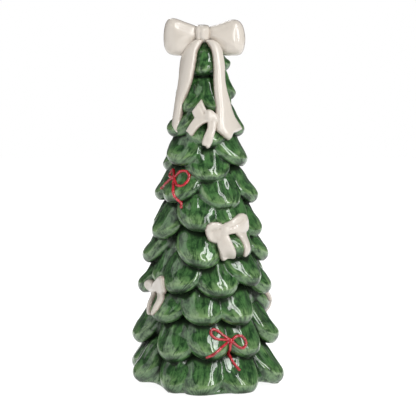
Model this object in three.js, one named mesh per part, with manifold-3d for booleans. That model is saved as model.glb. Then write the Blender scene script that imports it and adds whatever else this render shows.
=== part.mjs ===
// A glazed earthenware Christmas tree that stands on a shelf.
// Plump boughs overlap in tiers round a hollow cone. A white clay bow sits on the apex with its tails
// laid down the tree, smaller white bows are pressed on below it, and red bows are trailed in slip.
// Millimetres, +Z up. The origin is the middle of the base, on the shelf, and the front faces -Y.
// An azimuth is in degrees from the front, growing towards +X.
import * as THREE from 'three'
import { mergeVertices } from 'three/addons/utils/BufferGeometryUtils.js'
import Module from 'manifold-3d'

const wasm = await Module()
wasm.setup()

// The hollow cone
const apexHeight = 284
const coreFootRadius = 45
const coreTopRadius = 9
const coreBelly = 4.5
const wallThickness = 5
const hollowHeadroom = 25
const floorThickness = 7
const footRingRadius = 38
const footRingWidth = 13
const footRingHeight = 2
const drainRadius = 11

// How far the lowest boughs reach from the axis
const baseReach = 65

// The boughs, with a length and a thickness for the lowest tier and for one at the apex
const boughLength = 40
const topBoughLength = 33
const boughThickness = 14
const topBoughThickness = 10
const widestBough = 41
const boughGrip = 6
const boughOverlap = 1.12
const widestShareOfReach = 1.35
const widestAlong = 0.6
const thickestAlong = 0.7
const tipAlong = 0.86
const flarePower = 1.6
const wrap = 0.6
const lipRounding = 0.3
const lipLift = 0.2

// The tiers, from the shelf up. Lips are at a share of the apex height, and a tier's reach is a share of
// the base's. Each bough has an azimuth, how far its lip stands above the tier's, and for some how far
// it reaches past the tier's.
const tiers = [
  {
    lip: -0.014,
    reach: 1.0,
    boughs: [
      [-100, 10, -2], [-66, 4], [-29, 0], [-4, 0], [32, 0],
      [79, 3], [115, 2], [150, 0], [187, 3], [224, 1]
    ]
  },
  {
    lip: 0.077,
    reach: 0.923,
    boughs: [
      [-88, 12], [-30, -1], [6, 2], [41, 1], [90, 12],
      [130, 6], [168, 2], [204, 5], [238, 2]
    ]
  },
  {
    lip: 0.18,
    reach: 0.877,
    boughs: [
      [-46, 1], [-5, 2], [31, 0], [112, 2],
      [150, -1], [187, 3], [222, 0]
    ]
  },
  {
    lip: 0.268,
    reach: 0.846,
    boughs: [
      [-95, 1, -2], [-62, 5, -7], [-28, 1], [11, -2], [47, 6],
      [82, -1], [126, 2], [168, -2], [205, 3], [236, 0]
    ]
  },
  {
    lip: 0.356,
    reach: 0.8,
    boughs: [
      [-83, 1, -1], [-10, -2], [35, 6], [88, 2],
      [125, -2], [163, 3], [202, 0], [238, 4]
    ]
  },
  {
    lip: 0.43,
    reach: 0.723,
    boughs: [
      [-63, -3], [-10, 6], [36, 6], [82, 1],
      [122, 3], [162, -2], [200, 4], [242, 0]
    ]
  },
  {
    lip: 0.518,
    reach: 0.646,
    boughs: [
      [-100, -7], [-43, 3], [27, -3], [85, 3],
      [128, 0], [172, 3], [214, -2]
    ]
  },
  {
    lip: 0.62,
    reach: 0.554,
    boughs: [
      [-52, 5], [3, -9], [60, 4], [108, 2],
      [155, -3], [205, 2], [256, -2]
    ]
  },
  { lip: 0.715, reach: 0.477, boughs: [[-66, 2], [5, -7], [85, 4], [135, -2], [182, 3], [233, 0]] },
  { lip: 0.813, reach: 0.377, boughs: [[-100, 3], [-46, 0], [30, -1], [88, 5], [145, 0], [202, 3]] },
  { lip: 0.901, reach: 0.292, boughs: [[-92, 2], [-4, -2], [85, 2], [178, 0]] }
]

// The felt pads
const padRadius = 6
const padThickness = 1
const padCount = 4

// The topper: a knot on the apex, a loop to each side, and two tails laid down the tree
const topperX = -2.7
const knotWidth = 13.5
const knotHeight = 17
const knotDepth = 18
const knotSeat = 1
const topperLoopHeight = 31
const topperLoopDepth = 17
const tailThickness = 3.5
const tailNotch = 8
const leftLoopLength = 33
const rightLoopLength = 36
const topperLoops = [
  { name: 'topper_loop_left', angle: 184, length: leftLoopLength, height: topperLoopHeight, throat: 1.5 },
  { name: 'topper_loop_right', angle: -5, length: rightLoopLength, height: topperLoopHeight, throat: 1.5 }
]

// A tail's route goes through azimuths and drops below the apex, and its widths are at its two ends
const topperTails = [
  {
    name: 'topper_tail_left',
    route: [[-66, 1], [-60, 12], [-50, 26], [-48, 38], [-55, 50], [-56, 63], [-52, 76]],
    widths: [12, 9],
    notch: 0
  },
  {
    name: 'topper_tail_right',
    route: [[46, 1], [38, 12], [36, 26], [35, 38], [35.5, 50], [38, 63], [43, 78]],
    widths: [10, 18],
    notch: tailNotch
  }
]

// The small white bows, each placed by an azimuth and a share of the apex height. A bow lies in a frame
// of its own, with u to the right and v up from its knot, both in shares of its width. A loop has an
// angle from +u, a length and a height, and a tail runs through points of the frame.
const bowWidth = 40
const bowThickness = 3.5
const bowKnotWidth = 9
const bowKnotHeight = 11
const bowKnotRise = 1
const bowRise = 5
const bowDrop = 22
const pressedLoops = [
  { angle: 17, length: 0.6, height: 0.425, throat: 2 },
  { angle: 198, length: 0.4, height: 0.475, throat: 2 }
]
const pressedTails = [
  { points: [[-0.05, -0.075], [0, -0.35], [0.075, -0.6]], width: 0.25 },
  { points: [[0.25, 0.025], [0.475, -0.25], [0.5, -0.55]], width: 0.2 }
]
const pressed = { loops: pressedLoops, tails: pressedTails }
const mirrored = {
  loops: pressedLoops.map(loop => ({ ...loop, angle: 180 - loop.angle })),
  tails: pressedTails.map(tail => ({ ...tail, points: tail.points.map(([u, v]) => [-u, v]) }))
}
const whiteBows = [
  {
    name: 'white_bow_upper',
    azimuth: 4,
    height: 0.796,
    span: 25,
    loops: [
      { angle: 143, length: 0.375, height: 0.35, throat: 2.4 },
      { angle: -22, length: 0.7, height: 0.375, throat: 2.4 }
    ],
    tails: [
      { points: [[-0.05, -0.05], [-0.225, -0.25], [-0.4, -0.425]], width: 0.2 },
      { points: [[0.1, -0.075], [0.125, -0.35], [-0.05, -0.675]], width: 0.2 }
    ]
  },
  { name: 'white_bow_middle', azimuth: 21, height: 0.468, span: 22, ...pressed },
  { name: 'white_bow_left', azimuth: -64, height: 0.303, span: 10, ...mirrored },
  { name: 'white_bow_right', azimuth: 111, height: 0.268, span: 16, ...pressed },
  { name: 'white_bow_back', azimuth: 178, height: 0.563, span: 18, ...mirrored }
]

// The red bows, lines of slip trailed through points of the bow's frame, in shares of its width
const slipBowWidth = 31
const slipWidth = 2.4
const slipHeight = 1.2
const leftLoop = [[0, 0], [-0.19, 0.23], [-0.42, 0.31], [-0.58, 0.19], [-0.45, 0], [-0.23, -0.06], [0, 0]]
const rightLoop = [[0, 0], [0.13, 0.1], [0.29, 0.13], [0.42, -0.06], [0.29, -0.26], [0.13, -0.19], [0, 0]]
const redBows = [
  {
    name: 'red_bow_lower',
    azimuth: 25,
    height: 0.155,
    lines: [
      leftLoop,
      rightLoop,
      [[0, -0.03], [-0.29, -0.23], [-0.77, -0.45]],
      [[0, 0], [-0.06, -0.32], [0, -0.58], [0.16, -0.81]]
    ]
  },
  {
    name: 'red_bow_left',
    azimuth: -43.5,
    height: 0.618,
    lines: [
      [[0, 0], [0.13, 0.13], [0.29, 0.15], [0.48, -0.06], [0.29, -0.26], [0.1, -0.16], [0, 0]],
      [[0, 0], [-0.06, 0.19], [-0.26, 0.1], [-0.19, -0.03], [0, 0]],
      [[0, 0], [-0.19, -0.19], [-0.4, -0.37]],
      [[0, 0], [0.03, -0.32], [0.19, -0.65], [0.39, -0.84]]
    ]
  },
  {
    name: 'red_bow_back',
    azimuth: 150,
    height: 0.43,
    lines: [
      leftLoop,
      rightLoop,
      [[0, -0.03], [-0.19, -0.32], [-0.45, -0.65]],
      [[0, 0], [0.06, -0.32], [0.19, -0.58], [0.26, -0.77]]
    ]
  }
]

// Clearances between pieces, and how deep a laid strip of clay goes below its seat before it is cut
const seatGap = 0.3
const pressDepth = 4
const slipLift = 3 * seatGap

// Facets
const facetsRound = 18
const coneSteps = 5
const domeSteps = 3
const boughSides = 8
const boughRings = 5
const sidesToFace = 0.4
const ringsToLip = 0.8
const knotSides = 16
const loopSides = 12
const loopRings = 8
const bowSides = 7
const bowRings = 5
const topperTailSteps = 9
const bowTailSteps = 3
const slipSides = 5
const slipStepsPerPoint = 1.7

const footUnderside = padThickness + seatGap
const knotCentre = apexHeight + knotHeight / 2 - knotSeat

function outAt (azimuth) {
  const angle = THREE.MathUtils.degToRad(azimuth)
  return new THREE.Vector3(Math.sin(angle), -Math.cos(angle), 0)
}

// The radius of the plain cone under the boughs
function coreRadius (z) {
  const rise = THREE.MathUtils.clamp(z / apexHeight, 0, 1)
  const straight = THREE.MathUtils.lerp(coreFootRadius, coreTopRadius, rise)
  return straight + coreBelly * Math.sin(Math.PI * rise) * (1 - rise)
}

// An egg's half outline: 0 at both ends and 1 at the widest place, blunter with a larger power
function egg (along, widest, rootPower, endPower) {
  const away = along < widest ? (widest - along) / widest : (along - widest) / (1 - widest)
  const power = along < widest ? rootPower : endPower
  return Math.pow(Math.max(0, 1 - Math.pow(away, power)), 1 / power)
}

const boughOutline = along => egg(along, widestAlong, 2.8, 2.2)
const boughSwell = along => egg(along, thickestAlong, 2.4, 2.6)
const loopOutline = (along, throat) => egg(along, 0.66, throat, 3)

function solidOf (geometry) {
  const bare = geometry.clone()
  bare.deleteAttribute('normal')
  bare.deleteAttribute('uv')
  const welded = mergeVertices(bare)
  const mesh = new wasm.Mesh({
    numProp: 3,
    vertProperties: welded.attributes.position.array,
    triVerts: new Uint32Array(welded.index.array)
  })
  mesh.merge()
  return new wasm.Manifold(mesh)
}

function geometryOf (solid) {
  const mesh = solid.getMesh()
  const geometry = new THREE.BufferGeometry()
  geometry.setAttribute('position', new THREE.BufferAttribute(mesh.vertProperties, 3))
  geometry.setIndex(new THREE.BufferAttribute(mesh.triVerts, 1))
  return geometry
}

function joined (solids) {
  return solids.reduce((whole, solid) => whole.add(solid))
}

function largestBody (solid) {
  return solid.decompose().reduce((best, body) => body.volume() > best.volume() ? body : best)
}

// A solid turned about the axis from a profile of radii and heights
function turned (profile, sides) {
  const points = profile.map(([radius, z]) => new THREE.Vector2(radius, z))
  return new THREE.LatheGeometry(points, sides).rotateX(Math.PI / 2)
}

// The cone that carries the boughs, standing on its foot ring
function coreSolid (grow) {
  const under = footUnderside - grow
  const shoulder = apexHeight - coreTopRadius
  const profile = [[0, under], [footRingRadius + footRingWidth / 2 + grow, under]]
  for (let i = 0; i <= coneSteps; i++) {
    const z = THREE.MathUtils.lerp(footUnderside + footRingHeight, shoulder, i / coneSteps)
    profile.push([coreRadius(z) + grow, z])
  }
  const dome = coreTopRadius + grow
  for (let i = 1; i < domeSteps; i++) {
    const angle = i / domeSteps * Math.PI / 2
    profile.push([dome * Math.cos(angle), shoulder + dome * Math.sin(angle)])
  }
  profile.push([0, shoulder + dome])
  return solidOf(turned(profile, facetsRound))
}

// What the slip leaves empty: the hollow, the pour hole in the floor and the recess in the foot ring
function hollowSolid () {
  const floorUnder = footUnderside + footRingHeight
  const floorTop = floorUnder + floorThickness
  const recess = footRingRadius - footRingWidth / 2
  const top = apexHeight - coreTopRadius - hollowHeadroom
  const profile = [[0, 0], [recess, 0], [recess, floorUnder], [drainRadius, floorUnder]]
  profile.push([drainRadius, floorTop])
  for (let i = 0; i <= coneSteps; i++) {
    const z = THREE.MathUtils.lerp(floorTop, top, i / coneSteps)
    profile.push([coreRadius(z) - wallThickness, z])
  }
  profile.push([0, top + (coreRadius(top) - wallThickness) / 2])
  return solidOf(turned(profile, facetsRound))
}

// How far out the middle of a bough's lip lies, for its outer face to come out to the reach
function lipRadius (bough) {
  const slope = flarePower * (bough.reach - bough.root) / bough.length
  const proud = bough.thickness / 2 * boughSwell(tipAlong) / Math.hypot(1, slope)
  return bough.root + (bough.reach - proud - bough.root) / Math.pow(tipAlong, flarePower)
}

// A drooping tongue, narrow at the root under the tier above, flaring out to a full round lip. The
// sphere's poles become the root and the lip, and its sides crowd towards the outer face.
function boughSolid (bough, grow) {
  const geometry = new THREE.SphereGeometry(1, boughSides, boughRings)
  const spot = geometry.attributes.position
  const out = outAt(bough.azimuth)
  const side = new THREE.Vector3(-out.y, out.x, 0)
  const halfWidth = bough.width / 2 + grow
  const halfThickness = bough.thickness / 2 + grow
  const length = bough.length + 2 * grow
  const top = bough.lip + bough.length + grow
  const spread = lipRadius(bough) - bough.root
  for (let i = 0; i < spot.count; i++) {
    const along = Math.pow((1 - spot.getY(i)) / 2, ringsToLip)
    const turn = Math.atan2(spot.getZ(i), spot.getX(i))
    const around = turn + sidesToFace * Math.cos(turn)
    const across = halfWidth * boughOutline(along) * Math.cos(around)
    const proud = halfThickness * boughSwell(along) * Math.sin(around)
    const slope = spread * flarePower * Math.pow(along, flarePower - 1) / length
    const tilt = Math.hypot(1, slope)
    const middle = bough.root + spread * Math.pow(along, flarePower)
    const radius = middle + proud / tilt - wrap * across ** 2 / (2 * bough.reach)
    const z = top - length * along + proud * slope / tilt
    const point = out.clone().multiplyScalar(radius).addScaledVector(side, across)
    spot.setXYZ(i, point.x, point.y, z)
  }
  return solidOf(geometry)
}

// Every bough of a tier, with its width from the gaps to its neighbours
function boughsOf (tier) {
  const order = [...tier.boughs].sort((a, b) => a[0] - b[0])
  const reach = tier.reach * baseReach
  const thickness = THREE.MathUtils.lerp(boughThickness, topBoughThickness, tier.lip)
  const fullLength = THREE.MathUtils.lerp(boughLength, topBoughLength, tier.lip)
  return order.map(([azimuth, rise, further = 0], i) => {
    const before = order[(i + order.length - 1) % order.length][0]
    const after = order[(i + 1) % order.length][0]
    const gap = ((azimuth - before + 360) % 360 + (after - azimuth + 360) % 360) / 2
    const even = boughOverlap * THREE.MathUtils.degToRad(gap) * reach
    const lip = tier.lip * apexHeight + rise + lipRounding * thickness
    const length = Math.min(fullLength, apexHeight - boughGrip / 2 - lip)
    return {
      azimuth,
      lip,
      length,
      thickness,
      width: Math.min(even, widestBough, widestShareOfReach * reach),
      reach: reach + further,
      root: Math.max(0, coreRadius(lip + length) - boughGrip)
    }
  })
}

// The casting, with the lowest lips trimmed level just above the foot ring
function treeSolid (grow) {
  const below = new THREE.BoxGeometry(4 * baseReach, 4 * baseReach, 2 * boughLength)
  below.translate(0, 0, footUnderside + lipLift - grow - boughLength)
  const boughs = joined(tiers.flatMap(boughsOf).map(bough => boughSolid(bough, grow)))
  return coreSolid(grow).add(boughs.subtract(solidOf(below))).subtract(hollowSolid())
}

const tree = treeSolid(0)
const grownTree = treeSolid(seatGap)

// The distance from the axis at which a ray coming in from outside meets the tree
const rayMaterial = new THREE.MeshBasicMaterial({ side: THREE.DoubleSide })
const targets = [new THREE.Mesh(geometryOf(tree), rayMaterial)]
const ray = new THREE.Raycaster()
function surfaceRadius (azimuth, z) {
  const out = outAt(azimuth)
  const start = 2 * baseReach
  ray.set(out.clone().multiplyScalar(start).setZ(z), out.clone().negate())
  const hit = ray.intersectObjects(targets)[0]
  return hit ? start - hit.distance : 0
}

// A small bow's frame, bent round the tree on a cone that clears the boughs under it
function placeOf (bow) {
  const turns = [-bow.span, -bow.span / 2, 0, bow.span / 2, bow.span]
  const reachAt = z => Math.max(...turns.flatMap(turn => [-2, 2].map(
    lift => surfaceRadius(bow.azimuth + turn, z + lift))))
  const knot = bow.height * apexHeight
  const top = knot + bowRise
  const bottom = knot - bowDrop
  const topReach = reachAt(top)
  const bottomReach = reachAt(bottom)
  return (u, v, w) => {
    const z = knot + v
    const radius = THREE.MathUtils.mapLinear(z, bottom, top, bottomReach, topReach)
    const out = outAt(bow.azimuth + THREE.MathUtils.radToDeg(u / radius))
    return { point: out.clone().multiplyScalar(radius + w).setZ(z), out }
  }
}

function layOn (geometry, place) {
  const spot = geometry.attributes.position
  for (let i = 0; i < spot.count; i++) {
    const { point } = place(spot.getX(i), spot.getY(i), spot.getZ(i))
    spot.setXYZ(i, point.x, point.y, point.z)
  }
  return solidOf(geometry)
}

// A plump clay loop, from the knot outwards
function loopGeometry (loop, depth, press, grow, sides, rings) {
  const geometry = new THREE.SphereGeometry(1, sides, rings)
  const spot = geometry.attributes.position
  for (let i = 0; i < spot.count; i++) {
    const along = (1 + spot.getY(i)) / 2
    const around = Math.atan2(spot.getZ(i), spot.getX(i))
    const outline = loopOutline(along, loop.throat)
    const across = (loop.height / 2 + grow) * outline * Math.cos(around)
    const out = Math.sin(around) > 0 ? depth / 2 + grow : press
    spot.setXYZ(i, across, (loop.length + grow) * along, out * outline * Math.sin(around))
  }
  return geometry.rotateZ(THREE.MathUtils.degToRad(loop.angle - 90))
}

// A strip laid along stations, each a point and the way out of the tree there. It is rounded above
// its seat and runs deep below it, and its end can be notched like a ribbon's.
function stripSolid (stations, widths, thickness, press, sides, notch = 0) {
  const last = stations.length - 1
  const geometry = new THREE.CylinderGeometry(1, 1, 1, sides, last)
  const spot = geometry.attributes.position
  for (let i = 0; i < spot.count; i++) {
    const share = 0.5 - spot.getY(i)
    const at = Math.round(share * last)
    const { point, out } = stations[at]
    const before = stations[Math.max(0, at - 1)].point
    const after = stations[Math.min(last, at + 1)].point
    const back = before.clone().sub(after).normalize()
    const side = back.clone().cross(out).normalize()
    const across = spot.getX(i) * THREE.MathUtils.lerp(widths[0], widths[1], share) / 2
    const proud = spot.getZ(i) > 0 ? thickness * Math.pow(spot.getZ(i), 0.6) : press * spot.getZ(i)
    const cut = at === last ? notch * (1 - Math.abs(spot.getX(i))) : 0
    const place = point.clone().addScaledVector(side, across).addScaledVector(out, proud)
    place.addScaledVector(back, cut)
    spot.setXYZ(i, place.x, place.y, place.z)
  }
  return solidOf(geometry)
}

// Stations of a route given as azimuths and heights, riding over what lies under the strip's width
function routeOnTree (route, steps, halfWidth, lift = 0) {
  const curve = new THREE.CatmullRomCurve3(route.map(([azimuth, z]) => new THREE.Vector3(azimuth, z, 0)))
  const spots = curve.getPoints(steps).map(({ x: azimuth, y: z }) => {
    const spread = THREE.MathUtils.radToDeg(halfWidth / coreRadius(z))
    const radius = Math.max(...[-spread, 0, spread].map(turn => surfaceRadius(azimuth + turn, z)))
    return { azimuth, z, radius }
  })
  return spots.map((spot, i) => {
    const before = spots[Math.max(0, i - 1)].radius
    const after = spots[Math.min(steps, i + 1)].radius
    const radius = Math.max(spot.radius, (before + after) / 2)
    const out = outAt(spot.azimuth)
    return { point: out.clone().multiplyScalar(radius + lift).setZ(spot.z), out }
  })
}

function whiteBowSolid (bow) {
  const place = placeOf(bow)
  const loops = bow.loops.map(({ angle, length, height, throat }) => {
    const loop = { angle, throat, length: length * bowWidth, height: height * bowWidth }
    return layOn(loopGeometry(loop, 2 * bowThickness, pressDepth, 0, bowSides, bowRings), place)
  })
  const tails = bow.tails.map(({ points, width }) => {
    const curve = new THREE.SplineCurve(points.map(([u, v]) => new THREE.Vector2(u, v)))
    const stations = curve.getPoints(bowTailSteps).map(({ x, y }) => place(x * bowWidth, y * bowWidth, 0))
    return stripSolid(stations, [width * bowWidth, width * bowWidth], bowThickness, pressDepth, bowSides)
  })
  const knot = new THREE.SphereGeometry(1, bowSides, bowRings)
  knot.scale(bowKnotWidth / 2, bowKnotHeight / 2, bowThickness + bowKnotRise)
  return joined([...loops, ...tails, layOn(knot, place)])
}

function redBowSolid (bow) {
  const knot = bow.height * apexHeight
  const around = THREE.MathUtils.radToDeg(slipBowWidth / surfaceRadius(bow.azimuth, knot))
  return joined(bow.lines.map(points => {
    const route = points.map(([u, v]) => [bow.azimuth + u * around, knot + v * slipBowWidth])
    const steps = Math.round(slipStepsPerPoint * (points.length - 1))
    const stations = routeOnTree(route, steps, slipWidth / 2, slipLift)
    return stripSolid(stations, [slipWidth, slipWidth], slipHeight, slipLift - 2 * seatGap, slipSides)
  }))
}

function topperKnotSolid (grow) {
  const half = knotHeight / 2 + grow
  const barrel = [[0, -1], [0.72, -1], [0.96, -0.4], [1, 0], [0.96, 0.4], [0.72, 1], [0, 1]]
  const geometry = turned(barrel, knotSides)
  geometry.scale(knotWidth / 2 + grow, knotDepth / 2 + grow, half)
  return solidOf(geometry.translate(topperX, 0, knotCentre))
}

function topperLoopSolid (loop, grow) {
  const behind = topperLoopDepth / 2 + grow
  const geometry = loopGeometry(loop, topperLoopDepth, behind, grow, loopSides, loopRings)
  geometry.rotateX(Math.PI / 2)
  return solidOf(geometry.translate(topperX, 0, knotCentre))
}

const green = new THREE.MeshStandardMaterial({ color: 0x2f6b3a, roughness: 0.16, metalness: 0 })
const white = new THREE.MeshStandardMaterial({ color: 0xf1ece2, roughness: 0.18, metalness: 0 })
const red = new THREE.MeshStandardMaterial({ color: 0xb5202a, roughness: 0.2, metalness: 0 })
const felt = new THREE.MeshStandardMaterial({ color: 0x3b3b3a, roughness: 0.95, metalness: 0 })

const christmasTree = new THREE.Group()

function addSolid (name, solid, material) {
  const mesh = new THREE.Mesh(geometryOf(solid), material)
  mesh.name = name
  christmasTree.add(mesh)
}

addSolid('tree_casting', tree, green)
addSolid('topper_knot', largestBody(topperKnotSolid(0).subtract(grownTree)), white)

// What the next piece keeps clear of grows as the pieces are laid on
let taken = grownTree.add(topperKnotSolid(seatGap))
for (const loop of topperLoops) {
  addSolid(loop.name, largestBody(topperLoopSolid(loop, 0).subtract(taken)), white)
  taken = taken.add(topperLoopSolid(loop, seatGap))
}
for (const { name, route, widths, notch } of topperTails) {
  const down = route.map(([azimuth, drop]) => [azimuth, apexHeight - drop])
  const stations = routeOnTree(down, topperTailSteps, widths[0] / 3)
  const strip = stripSolid(stations, widths, tailThickness, pressDepth, bowSides, notch)
  addSolid(name, largestBody(strip.subtract(taken)), white)
  const roomier = widths.map(width => width + 2 * seatGap)
  taken = taken.add(stripSolid(stations, roomier, tailThickness + seatGap, pressDepth, bowSides))
  targets.push(new THREE.Mesh(geometryOf(strip), rayMaterial))
}
for (const bow of whiteBows) {
  addSolid(bow.name, largestBody(whiteBowSolid(bow).subtract(taken)), white)
}
for (const bow of redBows) {
  addSolid(bow.name, largestBody(redBowSolid(bow).subtract(taken)), red)
}

for (let i = 0; i < padCount; i++) {
  const angle = (i + 0.5) / padCount * 2 * Math.PI
  const pad = new THREE.Mesh(new THREE.CylinderGeometry(padRadius, padRadius, padThickness, 16), felt)
  pad.rotation.x = Math.PI / 2
  pad.position.set(footRingRadius * Math.cos(angle), footRingRadius * Math.sin(angle), padThickness / 2)
  pad.name = `foot_pad_${i + 1}`
  christmasTree.add(pad)
}

export default christmasTree
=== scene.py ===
import math
from random import Random

import bpy
import numpy as np
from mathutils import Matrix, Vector
from mathutils.bvhtree import BVHTree


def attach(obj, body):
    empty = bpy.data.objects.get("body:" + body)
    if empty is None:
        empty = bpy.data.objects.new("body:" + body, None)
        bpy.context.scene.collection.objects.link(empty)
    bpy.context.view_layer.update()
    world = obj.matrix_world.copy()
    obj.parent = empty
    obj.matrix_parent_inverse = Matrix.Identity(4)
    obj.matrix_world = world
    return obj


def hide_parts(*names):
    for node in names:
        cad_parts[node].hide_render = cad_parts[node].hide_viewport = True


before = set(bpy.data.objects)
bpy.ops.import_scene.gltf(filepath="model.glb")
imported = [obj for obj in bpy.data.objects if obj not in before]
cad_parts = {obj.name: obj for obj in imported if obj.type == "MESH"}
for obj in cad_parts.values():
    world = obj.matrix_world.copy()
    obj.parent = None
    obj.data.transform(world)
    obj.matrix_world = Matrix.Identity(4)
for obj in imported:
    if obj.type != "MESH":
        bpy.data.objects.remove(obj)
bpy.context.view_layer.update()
mm = 0.001


# Node trees

class Value:  # a socket, whose sums and products add Math nodes
    def __init__(self, bench, socket):
        self.bench = bench
        self.socket = socket

    def math(self, operation, *others):
        return self.bench.math(operation, self, *others)

    def other(self, name):  # another output of the same node
        return Value(self.bench, self.socket.node.outputs[name])

    def __add__(self, other):
        return self.math("ADD", other)

    def __sub__(self, other):
        return self.math("SUBTRACT", other)

    def __rsub__(self, other):
        return self.bench.math("SUBTRACT", other, self)

    def __mul__(self, other):
        return self.math("MULTIPLY", other)

    def __truediv__(self, other):
        return self.math("DIVIDE", other)

    def __rtruediv__(self, other):
        return self.bench.math("DIVIDE", other, self)

    def __pow__(self, other):
        return self.math("POWER", other)

    __radd__ = __add__
    __rmul__ = __mul__

    def clipped(self):
        return self.bench.node("ShaderNodeMath", {"operation": "ADD", "use_clamp": True}, {0: self, 1: 0})


class Bench:  # a node tree being built
    def __init__(self, tree):
        self.tree = tree

    def node(self, kind, settings=None, feeds=None, out=0):
        made = self.tree.nodes.new(kind)
        for name, setting in (settings or {}).items():
            setattr(made, name, setting)
        for name, feed in (feeds or {}).items():
            if isinstance(feed, Value):
                self.tree.links.new(feed.socket, made.inputs[name])
            else:
                made.inputs[name].default_value = feed
        return Value(self, made.outputs[out]) if made.outputs else made

    def math(self, operation, *feeds):
        return self.node("ShaderNodeMath", {"operation": operation}, dict(enumerate(feeds)))

    def vector(self, operation, *feeds, out=0, **named):
        sockets = {**dict(enumerate(feeds)), **named}
        return self.node("ShaderNodeVectorMath", {"operation": operation}, sockets, out)

    def place(self, x, y, z):
        return self.node("ShaderNodeCombineXYZ", None, {0: x, 1: y, 2: z})

    def noise(self, place, scale, detail, roughness=0.5, distortion=0.0):
        return self.node("ShaderNodeTexNoise", None, {
            "Vector": place, "Scale": scale, "Detail": detail, "Roughness": roughness,
            "Distortion": distortion})

    def ease(self, value, low, high, fromValue=0, toValue=1):  # a smooth step between two values
        return self.node("ShaderNodeMapRange", {"interpolation_type": "SMOOTHSTEP"}, {
            "Value": value, "From Min": low, "From Max": high, "To Min": fromValue, "To Max": toValue})

    def blend(self, factor, one, two):  # a mix of two colours
        return self.node("ShaderNodeMix", {"data_type": "RGBA"}, {0: factor, 6: one, 7: two}, out=2)


class Paint(Bench):  # a material being built
    def __init__(self, name):
        self.material = bpy.data.materials.new(name)
        self.material.use_nodes = True
        super().__init__(self.material.node_tree)
        self.tree.nodes.clear()

    def spot(self):
        return self.node("ShaderNodeTexCoord", out="Object")

    def read(self, name):
        return self.node("ShaderNodeAttribute", {"attribute_name": name}, out="Fac")

    def end(self, color, height, strength, distance, feeds):  # a surface with a bump
        bump = self.node("ShaderNodeBump", None, {
            "Strength": strength, "Distance": distance, "Height": height})
        surface = {"Base Color": color, "Normal": bump, **feeds}
        return self.show(self.node("ShaderNodeBsdfPrincipled", None, surface))

    def show(self, shader):
        self.node("ShaderNodeOutputMaterial", None, {"Surface": shader})
        return self.material


class Making(Bench):  # a Geometry Nodes tree with named inputs
    kinds = {float: "NodeSocketFloat", int: "NodeSocketInt", "material": "NodeSocketMaterial"}

    def __init__(self, name, inputs):
        super().__init__(bpy.data.node_groups.new(name, "GeometryNodeTree"))
        sockets = self.tree.interface
        sockets.new_socket("Geometry", in_out="INPUT", socket_type="NodeSocketGeometry")
        sockets.new_socket("Geometry", in_out="OUTPUT", socket_type="NodeSocketGeometry")
        self.names = {}
        for label, value in inputs.items():
            kind = "material" if isinstance(value, bpy.types.Material) else type(value)
            socket = sockets.new_socket(label, in_out="INPUT", socket_type=self.kinds[kind])
            self.names[socket.identifier] = value
        self.inputs = self.tree.nodes.new("NodeGroupInput")
        self.result = self.tree.nodes.new("NodeGroupOutput")

    def given(self, label):
        return Value(self, self.inputs.outputs[label])

    def spot(self):
        return self.node("GeometryNodeInputPosition")

    def named(self, name, kind="FLOAT"):
        return self.node("GeometryNodeInputNamedAttribute", {"data_type": kind}, {"Name": name})

    def store(self, geometry, name, value, kind="FLOAT"):
        feeds = {"Geometry": geometry, "Name": name, "Value": value}
        return self.node("GeometryNodeStoreNamedAttribute", {"data_type": kind, "domain": "POINT"}, feeds)

    def blurred(self, value, steps, weight=1.0, kind="FLOAT_VECTOR"):
        return self.node("GeometryNodeBlurAttribute", {"data_type": kind}, {
            "Value": value, "Iterations": steps, "Weight": weight})

    def end(self, geometry, painted=True):  # what the tree gives is real mesh with its material
        last = self.node("GeometryNodeRealizeInstances", None, {0: geometry})
        if painted:
            last = self.node("GeometryNodeSetMaterial", None, {0: last, "Material": self.given("material")})
        self.tree.links.new(last.socket, self.result.inputs[0])

    def apply(self, piece):  # the tree's result on a piece, as a plain mesh
        modifier = piece.modifiers.new(self.tree.name, "NODES")
        modifier.node_group = self.tree
        for identifier, value in self.names.items():
            modifier[identifier] = value
        return bake(piece)


def bake(piece):  # the evaluated piece as a plain mesh, without its modifiers
    mesh = bpy.data.meshes.new_from_object(piece.evaluated_get(bpy.context.evaluated_depsgraph_get()))
    piece.modifiers.clear()
    piece.data = mesh
    return piece


def addPiece(name, points, faces, material=None, edges=()):
    mesh = bpy.data.meshes.new(name)
    mesh.from_pydata([list(point) for point in points], list(edges), [list(face) for face in faces])
    piece = bpy.data.objects.new(name, mesh)
    bpy.context.scene.collection.objects.link(piece)
    if material:
        mesh.materials.append(material)
    return piece


def pieceName(node):  # the piece for white_bow_left is whiteBowLeft
    first, *others = node.split("_")
    return first + "".join(word.title() for word in others)


def hand(piece, slot, *nodes):  # the piece stands for its CAD nodes and moves with them
    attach(piece, "root")
    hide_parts(*nodes)


# Glazes, clay and felt

glazeValues = {
    # deep: the colour of pooled glaze and of painted shade in crevices
    "deep": (0.012, 0.021, 0.011, 1), "body": (0.01, 0.042, 0.011, 1),
    # lip: the pale colour of thin glaze and of painted highlights at the lips and rims
    "bright": (0.068, 0.19, 0.05, 1), "lip": (0.2, 0.33, 0.13, 1),
    "streakWidth": 3.6, "streakLength": 17, "mottle": 150,
    "toneRange": (0.34, 0.66), "poolAndShadeRange": (0.05, 0.27),
    "thinCrest": 0.45, "run": 0.6, "rimGlazeAndHighlight": 0.45, "ripple": 0.06, "pleats": 7.5, "pleatDepth": 0.7,
    "roughness": 0.3, "coatRoughness": 0.035, "coatIor": 1.8, "dullCrevices": 0.85,
}


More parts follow.
